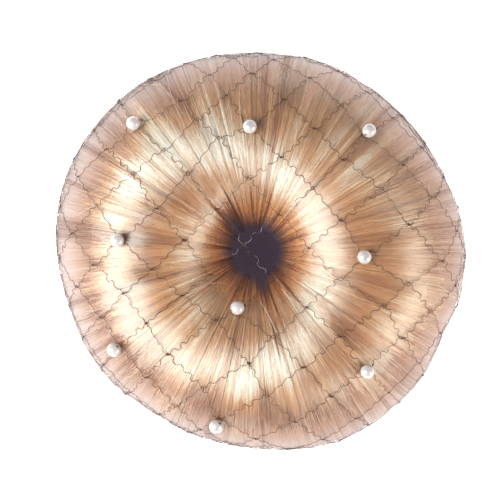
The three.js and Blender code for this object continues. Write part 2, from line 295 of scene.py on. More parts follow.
# Gloss, tones and shades of the hair: each stop is a place on a ramp and its colour
HAIR_IOR = 2.72
HAIR_SHEEN_TINT = (0.87, 1.0, 0.95)
HAIR_SPECULAR = 1.0
HAIR_TONES = (
    (0.0, (0.33, 0.115, 0.036)),
    (0.35, (0.53, 0.222, 0.08)),
    (0.7, (0.68, 0.33, 0.13)),
    (0.87, (0.78, 0.47, 0.235)),
    (1.0, (0.89, 0.78, 0.63)),
)
CORE_TONES = (
    (0.0, (0.27, 0.095, 0.03)),
    (0.5, (0.53, 0.237, 0.083)),
    (0.85, (0.70, 0.41, 0.19)),
    (1.0, (0.85, 0.71, 0.53)),
)
ROOT_TONES = (
    (0.0, (0.32, 0.11, 0.035)),
    (0.5, (0.66, 0.31, 0.125)),
    (1.0, (0.80, 0.45, 0.22)),
)
# Painted shade down the well: deepest near black with purple, brightening to amber further out
ROOT_SHADES = (
    (0.0, (0.043, 0.064, 0.205)),
    (0.165, (0.045, 0.064, 0.20)),
    (0.195, (0.08, 0.08, 0.13)),
    (0.236, (0.21, 0.175, 0.22)),
    (0.27, (0.34, 0.305, 0.34)),
    (0.31, (0.40, 0.365, 0.39)),
)
# Emission of the roots, which paints light shining through them
ROOT_GLOW = 1.5
ROOT_END = 0.275
# Rim: pale tones and shades that paint the reflection of the bright surroundings on the edge, turning brown
# down the sides
RIM_TONES = (
    (0.0, (0.46, 0.36, 0.31)),
    (0.5, (0.82, 0.80, 0.79)),
    (1.0, (0.95, 0.95, 0.95)),
)
RIM_SHADES = (
    (0.62, (0.27, 0.165, 0.115)),
    (0.675, (0.275, 0.19, 0.15)),
    (0.70, (0.29, 0.215, 0.185)),
    (0.73, (0.30, 0.24, 0.215)),
    (0.76, (0.27, 0.22, 0.205)),
    (0.79, (0.18, 0.14, 0.13)),
    (0.84, (0.15, 0.095, 0.07)),
    (0.92, (0.135, 0.075, 0.048)),
)
# Emission of the rim, which paints light shining through it
RIM_GLOW = 1.36
# Faint emission of the backing in the well, which paints stray light there
WELL_PAINTED_GLOW = (0.045, 0.032, 0.046)

# Clouds of the pearls, weave of the backing, and the sky round the studio
PEARL_CLOUDS = (
    (0.3, (0.40, 0.45, 0.445)),
    (0.5, (0.53, 0.535, 0.52)),
    (0.7, (0.56, 0.50, 0.50)),
)
CLOTH_SHADES = ((0.2, (0.034, 0.026, 0.037)), (0.9, (0.056, 0.044, 0.06)))
SKY_SHADES = (
    (0.0, (0.80, 0.60, 0.58)),
    (0.4, (0.56, 0.475, 0.46)),
    (1.0, (0.28, 0.27, 0.27)),
)

base_low, base_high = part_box("bun_base")
CENTRE = ((base_low[0] + base_high[0]) / 2 / MM, (base_low[1] + base_high[1]) / 2 / MM)


# Angles and directions
def beside(angle, degrees):
    """How far an angle lies from a direction, in degrees."""
    return (np.degrees(angle) - degrees + 180) % 360 - 180


def around(count):
    """Evenly spaced angles of one turn."""
    return np.arange(count) * TURN / count


def heading(angle):
    return np.stack([np.cos(angle), np.sin(angle)], -1)


def unit(vectors):
    return vectors / np.maximum(np.linalg.norm(vectors, axis=-1, keepdims=True), 1e-9)


# Surfaces that the hair and the net follow
def place(radius, height, angle):
    """Points at a radius, height and angle round the bun, with its swellings and the well's shift."""
    share = radius / BUN_RADIUS
    swell = sum(size * np.cos(count * (angle - math.radians(peak))) for count, size, peak in OUTLINE_WAVES)
    out = radius + swell * share**2
    for degrees, width, depth in FLAT_SIDES:
        out = out - depth * share**FLAT_POWER * np.exp(-(beside(angle, degrees) / width) ** 2)
    x = out * np.cos(angle) + WELL_SHIFT[0] * (1 - share) + CENTRE[0]
    y = out * np.sin(angle) + WELL_SHIFT[1] * (1 - share) + CENTRE[1]
    return np.stack([x, y, height + 0 * angle], -1)


def arc(centre, reach, rise, start, end, count):
    angle = np.radians(np.linspace(start, end, count))
    return np.stack([centre[0] + reach * np.cos(angle), centre[1] + rise * np.sin(angle)], 1)


class Profile:
    """A line in radius and height, read by the distance run along it."""

    def __init__(self, points):
        steps = np.hypot(*np.diff(points, axis=0).T)
        points = points[np.concatenate([[True], steps > 1e-6])]
        steps = np.hypot(*np.diff(points, axis=0).T)
        self.run = np.concatenate([[0], np.cumsum(steps)])
        self.points = points
        way = np.gradient(points, self.run, axis=0)
        way /= np.hypot(*way.T)[:, None]
        self.normal = np.stack([-way[:, 1], way[:, 0]], 1)
        turn = np.abs(np.diff(np.unwrap(np.arctan2(way[:, 1], way[:, 0]))))
        bend_weight = 15.0
        self.measure = np.concatenate([[0], np.cumsum(steps + bend_weight * turn)])

    def at(self, run):
        """Radius, height, and the outward and upward parts of the normal."""
        columns = (*self.points.T, *self.normal.T)
        return [np.interp(run, self.run, column) for column in columns]


def outer_arcs(lift, count):
    """Line from the crest over the widest part to the back, raised by a lift."""
    crown = (BUN_RADIUS - CREST_RADIUS + lift, BUN_HEIGHT - EQUATOR_HEIGHT + lift)
    tuck = (BUN_RADIUS - BACK_RADIUS + lift, EQUATOR_HEIGHT - BUN_BOTTOM + lift)
    return [
        arc((CREST_RADIUS, EQUATOR_HEIGHT), *crown, 90, 0, count),
        arc((BACK_RADIUS, EQUATOR_HEIGHT), *tuck, 0, -90, count),
    ]


def hair_profile():
    """Line from the foot of the well over the crest to the back."""
    well_foot, back_end, steps = 5.0, 44.5, 60
    throat = (CREST_RADIUS - WELL_RADIUS, BUN_HEIGHT - WELL_THROAT)
    inner_arc = arc((CREST_RADIUS, WELL_THROAT), *throat, 180, 90, steps)
    foot, end = [[WELL_RADIUS, well_foot]], [[back_end, BUN_BOTTOM]]
    return Profile(np.concatenate([foot, inner_arc, *outer_arcs(0, steps), end]))


def net_profile():
    """Line from the middle of the net, which dips over the well, to its edge at the back."""
    inner_steps, outer_steps = 40, 41
    lift = NET_GAP + THREAD_THICKNESS / 2
    radius = np.linspace(0, CREST_RADIUS, inner_steps, endpoint=False)
    dip = NET_DIP * (1 + np.cos(np.pi * radius / CREST_RADIUS)) / 2
    inner = np.stack([radius, BUN_HEIGHT + lift - dip], 1)
    return Profile(np.concatenate([inner, *outer_arcs(lift, outer_steps)]))


HAIR = hair_profile()
NET = net_profile()
HAIR_CREST_RUN = float(HAIR.run[np.argmax(HAIR.points[:, 1])])
NET_CREST_RUN = float(NET.run[np.argmax(NET.points[:, 1])])
NET_WIDEST_RUN = float(NET.run[np.argmax(NET.points[:, 0])])


def over_hair(run, angle, lift):
    """Points raised over the hair by a lift, and the outward directions there."""
    radius, height, out, up = HAIR.at(run)
    points = place(radius + out * lift, height + up * lift, angle)
    return points, np.stack([out * np.cos(angle), out * np.sin(angle), up], -1)


def net_points(flat):
    radius, height, _, _ = NET.at(np.hypot(flat[..., 0], flat[..., 1]))
    return place(radius, height, np.arctan2(flat[..., 1], flat[..., 0]))


def net_normals(flat):
    nudge = 0.4
    across = net_points(flat + [nudge, 0]) - net_points(flat - [nudge, 0])
    along = net_points(flat + [0, nudge]) - net_points(flat - [0, nudge])
    return unit(np.cross(across, along))


def over_net(flat, lift):
    """Points raised over the net by a lift, and the outward directions there."""
    normals = net_normals(flat)
    return net_points(flat) + np.reshape(lift, (-1, 1)) * normals, normals


# Lattice of the net laid flat
def even_knot(across, along):
    step_a, step_b = (length * heading(math.radians(turn)) for length, turn in (MESH_ACROSS, MESH_ALONG))
    return np.array(FIRST_KNOT) + across * step_a + along * step_b


def flat_seen_at(x, y, lift):
    """Flat point whose place on the net, raised by lift, is seen at x, y from above."""
    rounds = 60
    flat = np.array([x, y], float)
    for _ in range(rounds):
        point = net_points(flat) + lift * net_normals(flat)
        flat += [x - point[0] + CENTRE[0], y - point[1] + CENTRE[1]]
    return flat


def knot_pulls():
    """Knots that leave the even lattice, and how far each is pulled."""
    starts = np.array([even_knot(across, along) for across, along, _, _ in PEARL_KNOTS + STRAY_KNOTS])
    ends = [flat_seen_at(x, y, PEARL_LIFT) for _, _, x, y in PEARL_KNOTS]
    ends += [flat_seen_at(x, y, 0.0) for _, _, x, y in STRAY_KNOTS]
    return starts, np.array(ends) - starts


PULL_STARTS, PULLS = knot_pulls()


def flat_knot(across, along):
    knot = even_knot(across, along)
    distance = np.maximum(np.hypot(*(PULL_STARTS - knot).T), PULL_NEAREST)
    weight = (PULL_FADE / distance) ** PULL_POWER
    return knot + weight @ PULLS / (weight.sum() + 1)


def net_lattice():
    """Knots inside the edge, how wide each is tied, and threads as pairs of flat points."""
    span = range(-KNOT_RANGE, KNOT_RANGE + 1)
    flat = {(a, b): flat_knot(a, b) for a in span for b in span}
    knots = {key: point for key, point in flat.items() if np.hypot(*point) < NET_EDGE - EDGE_MARGIN}
    widths = {key: RANDOM.uniform(*TIE_WIDTHS) for key in knots}
    threads = []
    for (a, b), point in knots.items():
        for key, side in (((a + 1, b), 1), ((a, b - 1), 1), ((a - 1, b), -1), ((a, b + 1), -1)):
            start = point + side * widths[a, b] * KNOT_WAY
            if key in knots:
                if key > (a, b):
                    threads.append((start, knots[key] - side * widths[key] * KNOT_WAY))
            elif key in flat:
                middle = point + EDGE_REACH * (flat[key] - point)
                threads.append((start, middle / np.hypot(*middle) * NET_EDGE))
    return knots, widths, threads


KNOT_WAY = unit(even_knot(1, -1) - even_knot(0, 0))
KNOTS, KNOT_WIDTHS, THREADS = net_lattice()


# Objects, and meshes from arrays
def new_object(name, data):
    thing = bpy.data.objects.new(name, data)
    bpy.context.scene.collection.objects.link(thing)
    return thing


class Batch:
    """Gathers parts of one mesh, with a tone and a place along the hair for each point."""

    def __init__(self):
        self.points, self.quads, self.triangles = [], [], []
        self.normals, self.tones, self.alongs, self.finishes = [], [], [], []
        self.count = 0

    def add(self, points, quads, triangles=(), normals=(), tone=0.5, along=0.5, finish=0):
        points = np.asarray(points, float).reshape(-1, 3)
        quads = np.asarray(quads, int).reshape(-1, 4)
        self.points.append(points)
        self.quads.append(quads + self.count)
        self.triangles.append(np.asarray(triangles, int).reshape(-1, 3) + self.count)
        self.normals.append(np.asarray(normals, float).reshape(-1, 3))
        self.tones.append(np.broadcast_to(np.ravel(tone), len(points)))
        self.alongs.append(np.broadcast_to(np.ravel(along), len(points)))
        self.finishes.append(np.broadcast_to(np.ravel(finish), len(quads)))
        self.count += len(points)
        return self

    def piece(self, name, materials, replaced, slot):
        quads = np.concatenate(self.quads)
        triangles = np.concatenate(self.triangles)
        corners = np.concatenate([quads.ravel(), triangles.ravel()])
        sizes = np.concatenate([np.full(len(quads), 4), np.full(len(triangles), 3)])
        starts = np.concatenate([[0], np.cumsum(sizes)[:-1]])
        finishes = np.concatenate([*self.finishes, np.zeros(len(triangles), int)])
        mesh = bpy.data.meshes.new(name)
        mesh.vertices.add(self.count)
        mesh.vertices.foreach_set("co", np.concatenate(self.points).ravel() * MM)
        mesh.loops.add(len(corners))
        mesh.loops.foreach_set("vertex_index", corners.astype(np.int32))
        mesh.polygons.add(len(sizes))
        mesh.polygons.foreach_set("loop_start", starts.astype(np.int32))
        mesh.polygons.foreach_set("use_smooth", np.ones(len(sizes), bool))
        for material in materials:
            mesh.materials.append(material)
        mesh.polygons.foreach_set("material_index", finishes.astype(np.int32))
        for label, values in (("tone", self.tones), ("along", self.alongs)):
            layer = mesh.attributes.new(label, "FLOAT", "POINT")
            layer.data.foreach_set("value", np.concatenate(values).astype(np.float32))
        mesh.update(calc_edges=True)
        mesh.validate()
        normals = np.concatenate(self.normals)
        if len(normals):
            mesh.normals_split_custom_set_from_vertices(normals)
        piece = new_object(name, mesh)
        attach(piece, "root")
        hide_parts(*replaced)
        return piece


def ring_round(way, normals, angle):
    """Directions at several angles round a line, and the one of them that faces out."""
    side = unit(np.cross(normals, way))
    up = np.cross(way, side)
    angle = angle[:, None]
    return np.cos(angle) * side[..., None, :] + np.sin(angle) * up[..., None, :], up


def fan(ring):
    """Triangles that close a ring of points."""
    first = np.repeat(ring[..., :1], ring.shape[-1] - 2, -1)
    return np.stack([first, ring[..., 1:-1], ring[..., 2:]], -1).reshape(-1, 3)


def caps(low, high):
    """Fans over two rings that face away from each other."""
    return np.concatenate([fan(low)[:, [0, 2, 1]], fan(high)])


def tubes(paths, normals, radii, sides, roundness=1.0):
    """Closed tubes along several paths of one length: points, quads, end triangles and normals.

    A low roundness turns the normals outward, so that flat lying hairs shade as one surface."""
    count, steps, _ = paths.shape
    way = unit(np.gradient(paths, axis=1))
    ring, up = ring_round(way, normals, math.pi / 2 + around(sides))
    points = paths[:, :, None, :] + ring * radii[:, :, None, None]
    index = np.arange(count * steps * sides).reshape(count, steps, sides)
    low, high = index[:, :-1], index[:, 1:]
    quads = np.stack([low, np.roll(low, -1, 2), np.roll(high, -1, 2), high], -1).reshape(-1, 4)
    shading = unit(roundness * ring + (1 - roundness) * up[:, :, None, :])
    return points, quads, caps(index[:, 0], index[:, -1]), shading


def thread_tube(path, normals, radius, sides=3):
    """Tube of even thickness along one open path."""
    normals = np.broadcast_to(normals, path.shape)
    return tubes(path[None], normals[None], np.full((1, len(path)), radius), sides)


def wrapped_quads(steps, sides):
    """Quads over a grid of points that closes on itself both ways."""
    index = np.arange(steps * sides).reshape(steps, sides)
    after = np.roll(index, -1, 0)
    return np.stack([index, np.roll(index, -1, 1), np.roll(after, -1, 1), after], -1).reshape(-1, 4)


def loop_tube(path, normals, radius, sides):
    """Tube along a closed path."""
    way = unit(np.roll(path, -1, 0) - np.roll(path, 1, 0))
    ring, _ = ring_round(way, normals, around(sides))
    return path[:, None] + radius * ring, wrapped_quads(len(path), sides), (), ring


def on_sides(values, sides):
    """The same value for each side of a tube."""
    return np.repeat(values[:, :, None], sides, 2)


# Nodes of materials
def wire(tree, node, inputs):
    """Links each named input of a node to a socket, or gives it a value."""
    for name, value in inputs.items():
        if isinstance(value, bpy.types.NodeSocket):
            tree.links.new(value, node.inputs[name])
        else:
            node.inputs[name].default_value = value


def add_node(tree, kind, inputs, output):
    node = tree.nodes.new("ShaderNode" + kind)
    wire(tree, node, inputs)
    return node.outputs[output]


def new_material(name, roughness, specular=0.5, ior=1.5):
    material = bpy.data.materials.new(name)
    material.use_nodes = True
    tree = material.node_tree
    shader = tree.nodes["Principled BSDF"]
    wire(tree, shader, {"Roughness": roughness, "Specular IOR Level": specular, "IOR": ior})
    return material, tree, shader


def ramp_node(tree, value, stops):
    """Colour that runs through the stops as a value rises."""
    ramp = tree.nodes.new("ShaderNodeValToRGB")
    elements = ramp.color_ramp.elements
    while len(elements) < len(stops):
        elements.new(0.5)
    for element, (position, colour) in zip(elements, stops):
        element.position = position
        element.color = (*colour, 1)
    wire(tree, ramp, {"Fac": value})
    return ramp.outputs["Color"]


def attribute_node(tree, name):
    node = tree.nodes.new("ShaderNodeAttribute")
    node.attribute_name = name
    return node.outputs["Fac"]


def object_spot(tree):
    return add_node(tree, "TexCoord", {}, "Object")


def noise_node(tree, vector, scale, detail):
    return add_node(tree, "TexNoise", {"Vector": vector, "Scale": scale, "Detail": detail}, "Fac")


def range_node(tree, value, low, high):
    """Stretches the middle of a noise to run from low to high."""
    ends = {"From Min": 0.3, "From Max": 0.7, "To Min": low, "To Max": high}
    return add_node(tree, "MapRange", {"Value": value, **ends}, "Result")


def math_node(tree, operation, first, second):
    node = tree.nodes.new("ShaderNodeMath")
    node.operation = operation
    node.use_clamp = operation == "ADD"
    wire(tree, node, {0: first, 1: second})
    return node.outputs["Value"]


def bump_node(tree, height, strength, distance):
    inputs = {"Height": height, "Strength": strength, "Distance": distance}
    return add_node(tree, "Bump", inputs, "Normal")


def multiply_node(tree, first, second):
    """Product of two colours."""
    node = tree.nodes.new("ShaderNodeMix")
    node.data_type = "RGBA"
    node.blend_type = "MULTIPLY"
    wire(tree, node, {"Factor": 1.0, "A": first, "B": second})
    return node.outputs["Result"]


# Materials
def strand_colours(tree, shader, tones, roughness):
    """Tone of each strand, with lighter, darker, duller and glossier stretches along it."""
    spread, lighter, glossier, duller = 9.0, 0.14, 0.05, 0.1
    tone = attribute_node(tree, "tone")
    along = attribute_node(tree, "along")
    across = math_node(tree, "MULTIPLY", tone, spread)
    spot = add_node(tree, "CombineXYZ", {"X": along, "Y": across}, "Vector")
    streak = noise_node(tree, spot, scale=14.0, detail=3.0)
    ripple = noise_node(tree, spot, scale=34.0, detail=1.0)
    shift = range_node(tree, streak, -lighter, lighter)
    wire(tree, shader, {
        "Roughness": range_node(tree, streak, roughness - glossier, roughness + duller),
        "Normal": bump_node(tree, ripple, strength=0.12, distance=0.3 * MM),
    })
    return ramp_node(tree, math_node(tree, "ADD", tone, shift), tones), along


def hair_material(name, tones, roughness):
    """Glossy hair, whose highlights spread across it, as round hairs spread them."""
    material, tree, shader = new_material(name, roughness, HAIR_SPECULAR, HAIR_IOR)
    colour, _ = strand_colours(tree, shader, tones, roughness)
    tangent = tree.nodes.new("ShaderNodeTangent")
    tangent.direction_type = "RADIAL"
    tangent.axis = "Z"
    wire(tree, shader, {
        "Base Color": colour,
        "Specular Tint": (*HAIR_SHEEN_TINT, 1),
        "Tangent": tangent.outputs["Tangent"],
        "Anisotropic": 1.0,
    })
    return material


def dull_material(name, tones, shades, glow):
    """Dull hair whose colour changes along it through a ramp of shades, with painted shade at the roots and
    painted reflection at the rim, and an emission that paints light through it.
    """
    roughness = 0.5
    material, tree, shader = new_material(name, roughness)
    colour, along = strand_colours(tree, shader, tones, roughness)
    shaded = multiply_node(tree, colour, ramp_node(tree, along, shades))
    wire(tree, shader, {"Base Color": shaded, "Emission Color": shaded, "Emission Strength": glow})
    return material


def thread_material(name, dark, light, dark_end=0.32, light_end=0.68):
    """Brown thread with a slow change of shade along it."""
    material, tree, shader = new_material(name, roughness=0.4)
    cloud = noise_node(tree, object_spot(tree), scale=420.0, detail=4.0)
    wire(tree, shader, {"Base Color": ramp_node(tree, cloud, ((dark_end, dark), (light_end, light)))})
    return material


def pearl_material():
    """White pearl with soft clouds of pink, cream and grey-green under a clear coat."""
    material, tree, shader = new_material("pearl_lustre", roughness=0.22, ior=2.0)
    cloud = noise_node(tree, object_spot(tree), scale=520.0, detail=2.0)
    colour = ramp_node(tree, cloud, PEARL_CLOUDS)
    wire(tree, shader, {"Base Color": colour, "Coat Weight": 0.8, "Coat Roughness": 0.05})
    return material


def backing_material():
    """Dark plain-woven cloth, with a faint emission that paints the stray light in the well."""
    material, tree, shader = new_material("backing_cloth", roughness=0.88, specular=0.25)
    spot = object_spot(tree)
    waves = []
    for direction in ("X", "Y"):
        wave = tree.nodes.new("ShaderNodeTexWave")
        wave.bands_direction = direction
        wire(tree, wave, {"Vector": spot, "Scale": 260.0, "Distortion": 0.6})
        waves.append(wave.outputs["Fac"])
    woven = math_node(tree, "MAXIMUM", *waves)
    wire(tree, shader, {
        "Base Color": ramp_node(tree, woven, CLOTH_SHADES),
        "Normal": bump_node(tree, woven, strength=0.3, distance=0.3 * MM),
        "Emission Color": (*WELL_PAINTED_GLOW, 1),
        "Emission Strength": 1.0,
    })
    return material


# Dents in the hair
def press_grid():
    """Depth of the dents under threads and knots."""
    axis = np.arange(-PRESS_REACH, PRESS_REACH + PRESS_CELL, PRESS_CELL)
    x, y = np.meshgrid(axis, axis, indexing="ij")
    spots = np.stack([x, y], -1)
    nearest = np.full(x.shape, PRESS_REACH)
    for start, end in THREADS:
        way = end - start
        share = np.clip(((spots - start) @ way) / (way @ way), 0, 1)
        gap = np.hypot(x - start[0] - share * way[0], y - start[1] - share * way[1])
        nearest = np.minimum(nearest, gap)
    thread_depth, thread_reach = THREAD_DENT
    press = thread_depth * np.exp(-(nearest / thread_reach) ** 2)
    for key, knot in KNOTS.items():
        depth = SHALLOW_DENT + RANDOM_DENT * RANDOM.random() ** 2
        if key in DEEP_KNOTS:
            depth = DEEP_DENT
        elif key in PEARL_KEYS:
            depth = SHALLOW_DENT
        reach = RANDOM.uniform(*DENT_REACH)
        press += depth * np.exp(-(np.hypot(x - knot[0], y - knot[1]) / reach) ** 2)
    return press


PRESS = press_grid()


def pressed(run, angle):
    """How deep the net presses at a distance along the hair and an angle round the bun."""
    inside_crest = 8
    flat_run = np.clip(run - HAIR_CREST_RUN + NET_CREST_RUN, 0, PRESS_REACH - 1)
    row = ((flat_run * np.cos(angle) + PRESS_REACH) / PRESS_CELL).astype(int)
    column = ((flat_run * np.sin(angle) + PRESS_REACH) / PRESS_CELL).astype(int)
    return np.where(run > HAIR_CREST_RUN - inside_crest, PRESS[row, column], 0)


# Hair
def ring_noise(spots, size):
    """A random function of the angle round the bun."""
    jitter = 0.4
    angles = (np.arange(spots) + RANDOM.uniform(-jitter, jitter, spots)) * TURN / spots
    values = RANDOM.normal(0, size, spots)
    return lambda angle: np.interp(angle, angles, values, period=TURN)


class HairLie:
    """How the hair lies round the bun: its lean, waves, furrows, creases, tone and ragged ends."""

    def __init__(self):
        self.lean = ring_noise(LEAN_SPOTS, math.radians(LEAN_DEGREES))
        self.tones = [ring_noise(*band) for band in TONE_BANDS]
        self.phases = [ring_noise(wave.spots, wave.drift) for wave in HAIR_WAVES]
        self.roots = ring_noise(*RAGGED_ROOTS)
        self.rim = ring_noise(*RAGGED_RIM)
        self.creases = np.transpose([RANDOM.uniform(*ends, CREASES) for ends in CREASE_RANGES])

    def tone(self, angle):
        return sum(band(angle) for band in self.tones)

    def painted_highlight(self, share, angle):
        """Painted highlight: how much paler the hair is, in ragged tufts, most on the ring's long sides,
        with patches of painted highlight and shade.
        """
        share = share + PALE_RAGGED * (self.rim(angle) + self.roots(angle))
        side = np.radians(beside(angle, PALE_SIDE))
        middle = PALE_RING + PALE_TURN * np.cos(side)
        most = PALE_TONE * (PALE_LEAST + (1 - PALE_LEAST) * np.sin(side) ** 2)
        paler = most * np.exp(-((share - middle) / PALE_WIDTH) ** 4)
        for degrees, width, middle, length, tone in PATCHES:
            across = beside(angle, degrees) / width
            paler = paler + tone * np.exp(-across**2 - ((share - middle) / length) ** 2)
        return paler

    def colours(self, own, first, share, angle, fall):
        """Tone of hairs, with painted highlight and painted shade, the place along them that sets their
        shade, and their finish.
        """
        tone = own + self.tone(first) + RANDOM.normal(0, STRAND_TONE, first.shape)
        # Painted shade: hair in hollows, creases, furrows and dents is darker
        painted_hollow_shade = HOLLOW_SHADE * fall * (share < RIM_START)
        tone = np.minimum(tone, PALEST) + self.painted_highlight(share, angle) - painted_hollow_shade
        ragged = RANDOM.normal(0, STRAND_RAGGED, first.shape)
        along = self.colour_share(share, angle) + ragged
        return np.clip(tone, 0, 1), along, zone(share, along, self.rim(first) + ragged)

    def furrow_reach(self, angle, furrows=WELL_FURROWS):
        """How much further out the painted shade of the well reaches."""
        reach = 0
        for degrees, width, most in furrows:
            reach = np.maximum(reach, most * np.exp(-(beside(angle, degrees) / width) ** 2))
        return reach

    def colour_share(self, share, angle):
        """Share of the run that sets the colour: the well's painted shade drawn out along the furrows and
        corners, the rim's painted reflection turned.
        """
        end, length = ROOT_FADE
        drawn = share - (self.furrow_reach(angle) + self.roots(angle)) * fade(share, end, length)
        drawn = np.maximum(drawn, np.minimum(share, FURROW_SHADE))
        drawn = drawn - self.furrow_reach(angle, WELL_CORNERS) * fade(share, *CORNER_FADE)
        rim_side = np.cos(np.radians(beside(angle, RIM_SIDE)))
        return drawn - RIM_LATER * rim_side * np.clip((share - end - length) / length, 0, 1)

    def crease(self, share, angle):
        depth = 0
        for degrees, width, most, middle, reach in self.creases:
            across = np.exp(-(beside(angle, degrees) / width) ** 2)
            depth = np.maximum(depth, most * across * np.exp(-((share - middle) / reach) ** 2))
        return depth

    def depth(self, run, angle):
        """How far the hair lies below its highest level."""
        share = run / HAIR.run[-1]
        fall = self.crease(share, angle)
        for wave, phase in zip(HAIR_WAVES, self.phases):
            fall = fall + wave.size * (1 - np.sin(TURN * run / wave.length + phase(angle)))
        near_well = np.exp(-((share - FURROW_MIDDLE) / FURROW_LENGTH) ** 2)
        fall = fall + FURROW_DEPTH * self.furrow_reach(angle) * near_well
        spread = np.clip((share - WAVE_START) / WAVE_RISE, WAVE_LEAST, 1)
        even = np.clip((share - EVEN_START) / EVEN_RISE, 0, 1)
        return (1 - even + EVEN_KEPT * even) * (spread * fall + pressed(run, angle)) + EVEN_FALL * even


def fade(share, end, length):
    """Falls from one to nothing over a length beyond an end."""
    return np.clip((end + length - share) / length, 0, 1)


def zone(share, along, ragged):
    """Which finish a stretch of hair has: 0 glossy, 1 rim with painted reflection and glow, 2 root with
    painted shade and glow.
    """
    on_rim = (share > OUTER_SHARE) & (along + ragged > RIM_START)
    return np.where(on_rim, 1, np.where(along < ROOT_END, 2, 0))


def taper(step, first, last, least):
    """Share of the full thickness along a hair that thins over its first and last stretch."""
    return np.clip(np.minimum(step / first, (1 - step) / last), least, 1)


def strand_piece(name, lie, materials):
    count = STRANDS_PER_PIECE
    first = RANDOM.uniform(0, TURN, (count, 1))
    from_well = RANDOM.random((count, 1)) < FROM_WELL
    well_start = RANDOM.uniform(*WELL_STARTS, (count, 1))
    later_start = RANDOM.uniform(*LATER_STARTS, (count, 1))
    start = np.where(from_well, well_start, later_start)
    step = np.linspace(0, 1, STRAND_STEPS + 1)
    measure = (start + (1 - start) * step) * HAIR.measure[-1]
    run = np.interp(measure, HAIR.measure, HAIR.run)
    share = run / HAIR.run[-1]

    sway = np.radians(RANDOM.normal(0, STRAND_SWAY, (count, 1)))
    sway_phase = RANDOM.uniform(0, TURN, (count, 1))
    angle = first + lie.lean(first) * (share - LEAN_PIVOT) + sway * np.sin(SWAY_BENDS * share + sway_phase)
    layer = RANDOM.beta(*LAYER_SPREAD, (count, 1))
    fall = lie.depth(run, angle)
    dive = np.where(from_well, 0.0, END_DIVE) * np.exp(-step / DIVE_LENGTH)
    tuck = END_DIVE * np.exp(-(1 - step) / TUCK_LENGTH)
    lift = HAIR_TOP - HAIR_DEPTH * layer - fall - dive - tuck
    paths, normals = over_hair(run, angle, lift)

    wide = STRAND_WIDTH / 2 * RANDOM.uniform(*STRAND_SPREAD, (count, 1))
    fuller_outside = (1 + np.clip(HAIR.at(run)[0] / BUN_RADIUS, 0, 1)) / 2
    radii = wide * fuller_outside * taper(step, first=0.08, last=0.05, least=0.35)
    # Deeper strands are painted darker, as shade under the strands above
    tone, along, finish = lie.colours(STRAND_MIDDLE - LAYER_SHADE * layer, first, share, angle, fall)
    strands = Batch().add(
        *tubes(paths, normals, radii, STRAND_SIDES, STRAND_ROUNDNESS),
        *(on_sides(values, STRAND_SIDES) for values in (tone, along, finish[:, 1:])),
    )
    return strands.piece(name, materials, ["hair_bun"], "hair")


def hair_core(lie, materials):
    """Closed ring of packed hair under the loose strands."""
    angle = around(CORE_COLUMNS)[:, None] + np.zeros(CORE_ROWS)
    measure = np.linspace(0, HAIR.measure[-1], CORE_ROWS)
    run = np.interp(measure, HAIR.measure, HAIR.run) + 0 * angle
    share = run / HAIR.run[-1]
    grooves = RANDOM.uniform(0, CORE_GROOVE, (CORE_COLUMNS, 1))
    fall = lie.depth(run, angle)
    lift = HAIR_TOP - HAIR_DEPTH - CORE_DEPTH - grooves - fall
    points, facing = over_hair(run, angle, lift)
    points[..., 2] = np.maximum(points[..., 2], BUN_BOTTOM + CORE_CLEAR)
    way = unit(np.gradient(points, axis=1))
    facing = unit(facing - np.sum(facing * way, -1, keepdims=True) * way)
    # The packed hair starts darker than the strands, as painted shade
    colours = lie.colours(CORE_MIDDLE, angle[:, :1], share, angle, fall)
    ring = Batch().add(points, wrapped_quads(CORE_COLUMNS, CORE_ROWS), (), facing, *colours)
    return ring.piece("hair_core", materials, ["hair_bun"], "hair")


def bent_hair(spots, steps):
    """Angle and run along a hair that passes through four spots, each a direction and a share."""
    step = np.linspace(0, 1, steps)
    at_spots = np.linspace(0, 1, len(spots))
    degrees, share = (np.polyval(np.polyfit(at_spots, values, 3), step) for values in np.transpose(spots))
    return np.radians(degrees), share * HAIR.run[-1]


def stray_hairs(materials):
    """Loose single hairs that stand a little off the bun, the bent ones first."""
    count, steps, sides = 110, 24, 3
    thickness, bent_thicker = 0.05, 1.3
    starts, lengths, furthest, tones = (0.22, 0.7), (0.12, 0.28), 0.97, (0.7, 1)
    bend_tails, bend_degrees, curl_degrees = 2.0, 2.5, 1.5
    sunk_ends, least_stand, stands, arch_power = 0.6, 0.5, (1.6, 0.25), 0.7
    step = np.linspace(0, 1, steps)
    arch = np.sin(math.pi * step)
    first = RANDOM.uniform(*starts, (count, 1))
    span = RANDOM.uniform(*lengths, (count, 1))
    run = np.clip(first + span * step, 0, furthest) * HAIR.run[-1]
    bend = np.radians(RANDOM.standard_t(bend_tails, (count, 1)) * bend_degrees)
    curl = np.radians(RANDOM.normal(0, curl_degrees, (count, 1)))
    angle = RANDOM.uniform(0, TURN, (count, 1)) + bend * (step - 0.5) + curl * arch
    for row, spots in enumerate(BENT_HAIRS):
        angle[row], run[row] = bent_hair(spots, steps)
    stand = RANDOM.gamma(*stands, (count, 1))
    lift = HAIR_TOP - sunk_ends + (least_stand + stand) * arch**arch_power
    paths, normals = over_hair(run, angle, lift)
    radii = thickness * taper(step, first=0.1, last=0.1, least=0.4) + 0 * run
    radii[:len(BENT_HAIRS)] *= bent_thicker
    tone = RANDOM.uniform(*tones, (count, 1)) + 0 * run
    tone[:len(BENT_HAIRS)] = 1
    share = run / HAIR.run[-1]
    hairs = Batch().add(*tubes(paths, normals, radii, sides), on_sides(tone, sides), on_sides(share, sides))
    return hairs.piece("stray_hairs", materials, ["hair_bun"], "hair")


